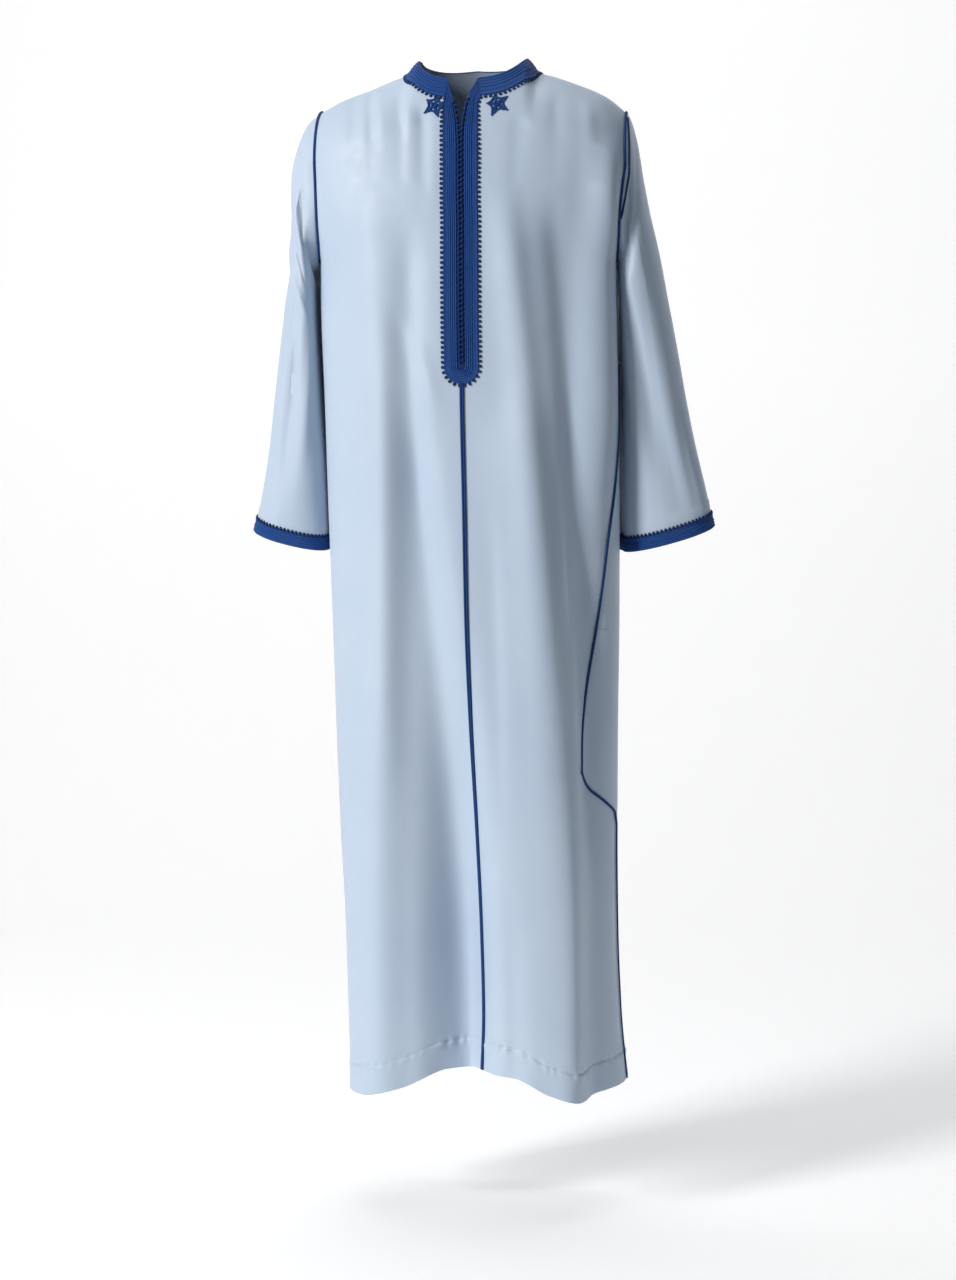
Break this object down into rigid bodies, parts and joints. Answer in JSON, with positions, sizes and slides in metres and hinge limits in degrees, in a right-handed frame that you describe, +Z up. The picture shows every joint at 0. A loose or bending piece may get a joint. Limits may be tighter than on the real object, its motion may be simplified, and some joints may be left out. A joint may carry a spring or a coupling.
{
  "type": "djellaba robe",
  "caption": "Long loose pale robe in its worn form, with short wide sleeves, a slit neck, side gores and flat braided trim, hollow and open at neck, hem and cuffs.",
  "frame": {"origin": "the middle of the shoulders at the height of the neck points, where the wearer holds the robe up", "axes": "+Z up; the front faces -Y; +X is towards the wearer's left sleeve"},
  "size_m": [0.6546, 0.2751, 1.45],
  "materials": {
    "cloth": "smooth, with a soft low shine",
    "braid": "flat braid of shiny thread",
    "cord": "twisted thread"
  },
  "bodies": {
    "root": {"front_right": "cloth", "front_left": "cloth", "back": "cloth", "side_gore_right": "cloth", "side_gore_left": "cloth", "sleeve_right": "cloth", "sleeve_left": "cloth", "collar_band": "braid", "placket_braid": "braid", "slit_knots_right": "braid", "slit_knots_left": "braid", "cuff_band_right": "braid", "cuff_band_left": "braid", "star_right": "cord", "star_left": "cord", "centre_cord": "cord", "armhole_cord_right": "cord", "armhole_cord_left": "cord", "side_opening_cord_right": "cord", "side_opening_cord_left": "cord", "side_seam_cord_right": "cord", "side_seam_cord_left": "cord"}
  },
  "joints": []
}
